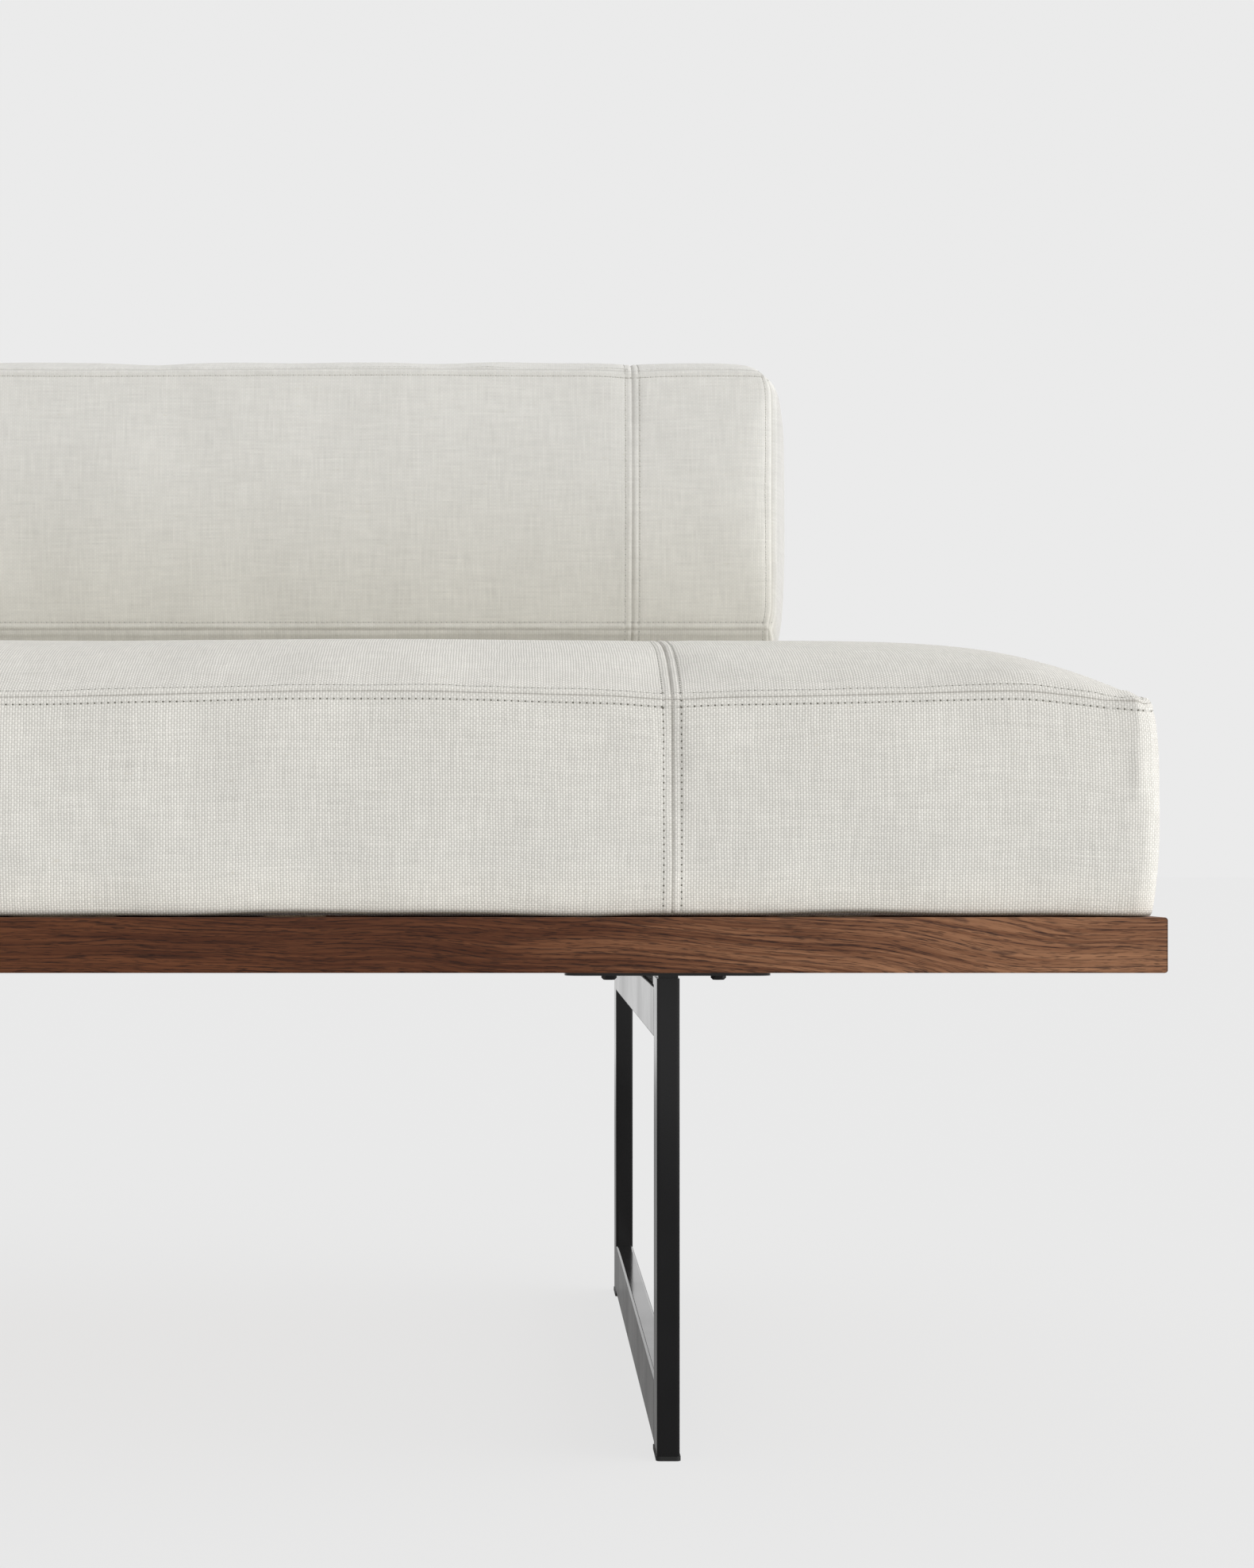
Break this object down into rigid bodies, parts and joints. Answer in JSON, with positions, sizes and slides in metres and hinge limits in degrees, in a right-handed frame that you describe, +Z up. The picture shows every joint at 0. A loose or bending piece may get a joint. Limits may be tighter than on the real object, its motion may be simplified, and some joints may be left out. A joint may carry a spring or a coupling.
{
  "type": "daybed",
  "caption": "Low backless daybed: walnut platform on slim black steel sled frames, with a thick boxed linen seat cushion and a loose linen bolster as backrest.",
  "frame": {"origin": "on the floor, under the middle of the platform", "axes": "+X along the platform to the right end, -Y towards the front, +Z up"},
  "size_m": [2.032, 0.762, 0.6973],
  "materials": {
    "walnut": "satin",
    "beech": "matte",
    "black_steel": "satin",
    "bolt_steel": "satin",
    "screw_steel": "satin",
    "insert_brass": "satin",
    "glide_plastic": "matte",
    "seat_linen": "matte",
    "bolster_linen": "matte",
    "foam": "matte",
    "zip_tape": "matte",
    "zip_metal": "satin"
  },
  "bodies": {
    "platform": {"front_rail": "walnut", "rear_rail": "walnut", "left_end_rail": "walnut", "right_end_rail": "walnut", "left_bearer": "beech", "right_bearer": "beech", "left_spine": "beech", "centre_spine": "beech", "right_spine": "beech", "corner_blocks": "beech", "deck_screws": "screw_steel", "leg_bolts": "bolt_steel", "threaded_inserts": "insert_brass", "slat_1": "beech", "slat_2": "beech", "slat_3": "beech", "slat_4": "beech", "slat_5": "beech", "slat_6": "beech", "slat_7": "beech", "slat_8": "beech", "slat_9": "beech", "slat_10": "beech", "slat_11": "beech", "slat_12": "beech", "slat_13": "beech", "slat_14": "beech", "left_front_leg": "black_steel", "left_rear_leg": "black_steel", "left_top_rail": "black_steel", "left_base_rail": "black_steel", "left_front_plate": "black_steel", "left_rear_plate": "black_steel", "left_front_riser": "black_steel", "left_rear_riser": "black_steel", "left_front_glide": "glide_plastic", "left_rear_glide": "glide_plastic", "right_front_leg": "black_steel", "right_rear_leg": "black_steel", "right_top_rail": "black_steel", "right_base_rail": "black_steel", "right_front_plate": "black_steel", "right_rear_plate": "black_steel", "right_front_riser": "black_steel", "right_rear_riser": "black_steel", "right_front_glide": "glide_plastic", "right_rear_glide": "glide_plastic"},
    "seat": {"seat_cover": "seat_linen", "seat_core": "foam", "seat_zip_tape": "zip_tape"},
    "seat_zip": {"seat_zip_slider": "zip_metal"},
    "bolster": {"bolster_cover": "bolster_linen", "bolster_core": "foam", "bolster_zip_tape": "zip_tape"},
    "bolster_zip": {"bolster_zip_slider": "zip_metal"}
  },
  "joints": [
    {"name": "seat_lift", "type": "slide", "parent": "platform", "child": "seat", "axis": [0, 0, 1], "range_m": [0, 0.3]},
    {"name": "bolster_lift", "type": "slide", "parent": "seat", "child": "bolster", "axis": [0, 0, 1], "range_m": [0, 0.3]},
    {"name": "seat_zip_slide", "type": "slide", "parent": "seat", "child": "seat_zip", "axis": [-1, 0, 0], "range_m": [0, 1.48]},
    {"name": "bolster_zip_slide", "type": "slide", "parent": "bolster", "child": "bolster_zip", "axis": [-1, 0, 0], "range_m": [0, 1.18]}
  ]
}
